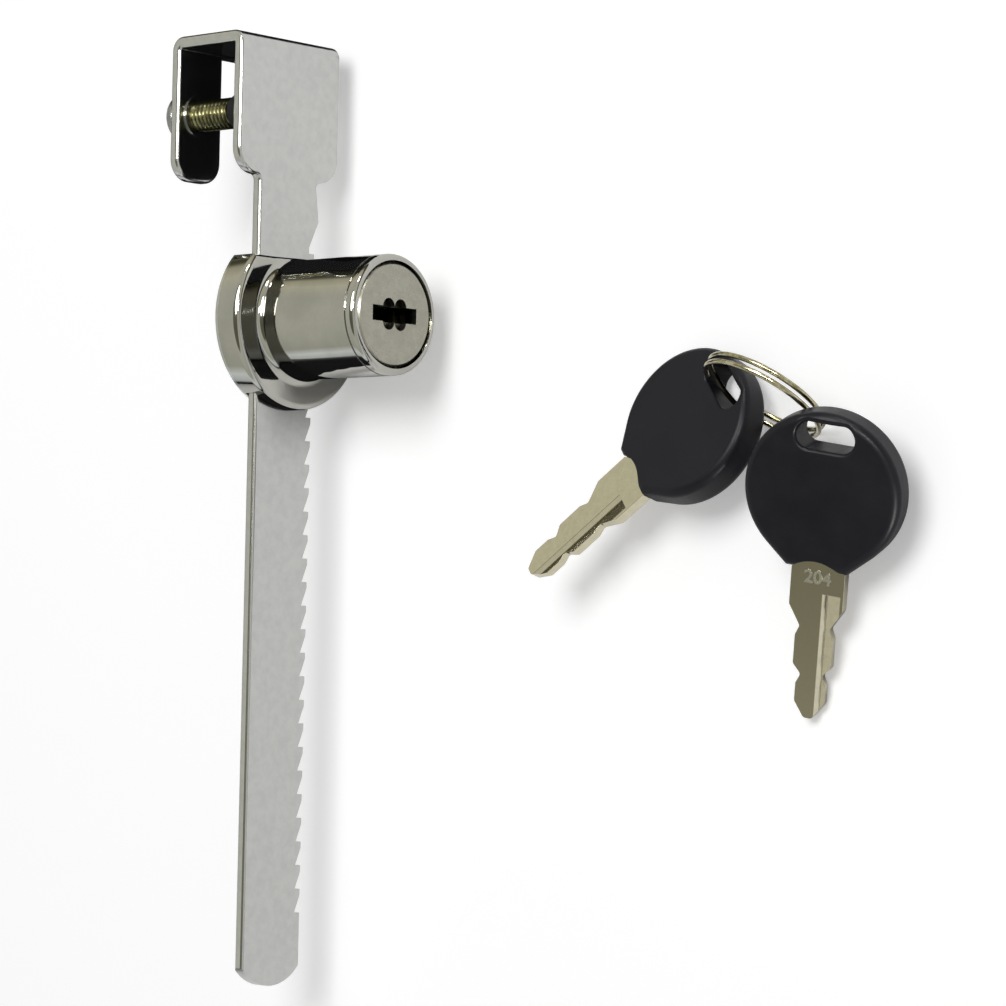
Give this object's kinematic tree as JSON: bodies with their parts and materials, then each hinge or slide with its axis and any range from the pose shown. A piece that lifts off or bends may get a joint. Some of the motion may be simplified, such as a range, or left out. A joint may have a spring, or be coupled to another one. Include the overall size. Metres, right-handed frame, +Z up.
{
  "type": "ratchet showcase lock",
  "caption": "Ratchet lock for sliding glass doors: hooked toothed strip with clamp screw, keyed lock head that slides on it, and keys on a split ring.",
  "frame": {"origin": "seat of the hook on the glass edge, at the strip's back face and the middle of the bar's width", "axes": "+X out of the front of the lock, +Y along the bar towards the hook, +Z up across the strip, away from the teeth"},
  "size_m": [0.1268, 0.1427, 0.027],
  "materials": {
    "strip_steel": "plated, satin over punched steel",
    "head_chrome": "bright plate over die-cast zinc",
    "cover_steel": "plated sheet",
    "screw_steel": "zinc plated",
    "screw_zinc": "yellow zinc plated",
    "pad_rubber": "matte",
    "plug_nickel": "satin nickel plate",
    "pin_steel": "ground",
    "washer_steel": "punched",
    "pawl_steel": "hardened, oiled",
    "spring_steel": "drawn wire",
    "wafer_brass": "punched",
    "key_nickel": "nickel plated brass",
    "bow_plastic": "moulded, slight gloss",
    "ring_nickel": "nickel plated wire"
  },
  "bodies": {
    "bar": {"toothed_bar": "strip_steel"},
    "pad": {"pressure_pad": "pad_rubber"},
    "screw": {"clamp_screw": "screw_zinc"},
    "lock_head": {"lock_housing": "head_chrome", "back_cover": "cover_steel", "cover_screws": "screw_steel", "pawl_spring": "spring_steel"},
    "plug_body": {"plug": "plug_nickel", "drive_pin": "pin_steel", "stop_washer": "washer_steel", "retaining_clip": "spring_steel", "wafer_1": "wafer_brass", "wafer_2": "wafer_brass", "wafer_3": "wafer_brass", "wafer_4": "wafer_brass", "wafer_5": "wafer_brass", "wafer_6": "wafer_brass", "wafer_7": "wafer_brass", "wafer_spring_1": "spring_steel", "wafer_spring_2": "spring_steel", "wafer_spring_3": "spring_steel", "wafer_spring_4": "spring_steel", "wafer_spring_5": "spring_steel", "wafer_spring_6": "spring_steel", "wafer_spring_7": "spring_steel"},
    "pawl_body": {"pawl": "pawl_steel"},
    "ring": {"split_ring": "ring_nickel"},
    "key_1": {"key_1_bow": "bow_plastic", "key_1_blade": "key_nickel"},
    "key_2": {"key_2_bow": "bow_plastic", "key_2_blade": "key_nickel"}
  },
  "joints": [
    {"name": "pad_travel", "type": "slide", "parent": "bar", "child": "pad", "axis": [-1, 0, 0], "range_m": [0, 0.006]},
    {"name": "screw_turn", "type": "hinge", "parent": "pad", "child": "screw", "pos_m": [-0.01, -0.0099, 0.00585], "axis": [-1, 0, 0], "range_deg": [0, 2705]},
    {"name": "head_slide", "type": "slide", "parent": "bar", "child": "lock_head", "axis": [0, 1, 0], "range_m": [-0.08544, 0.00356]},
    {"name": "plug_turn", "type": "hinge", "parent": "lock_head", "child": "plug_body", "pos_m": [0.01, -0.0411, -0.0012], "axis": [-1, 0, 0], "range_deg": [0, 90]},
    {"name": "pawl_travel", "type": "slide", "parent": "lock_head", "child": "pawl_body", "axis": [0, 0, 1], "range_m": [0, 0.00135], "deforming": ["pawl_spring"]},
    {"name": "ring_lift", "type": "slide", "parent": "bar", "child": "ring", "axis": [0, 0, 1], "range_m": [0, 0.05]},
    {"name": "key_1_swing", "type": "hinge", "parent": "ring", "child": "key_1", "pos_m": [0.08777, -0.05477, -0.00629], "axis": [0.2352, 0.8424, -0.4848], "range_deg": [0, 60]},
    {"name": "key_2_swing", "type": "hinge", "parent": "ring", "child": "key_2", "pos_m": [0.08777, -0.05477, -0.00629], "axis": [0.2352, 0.8424, -0.4848], "range_deg": [-60, 0]}
  ],
  "couplings": [
    {"joint": "screw_turn", "follows": "pad_travel", "rad_per_m": 7854},
    {"joint": "pawl_travel", "follows": "plug_turn", "m_per_rad": 0.00085944}
  ]
}
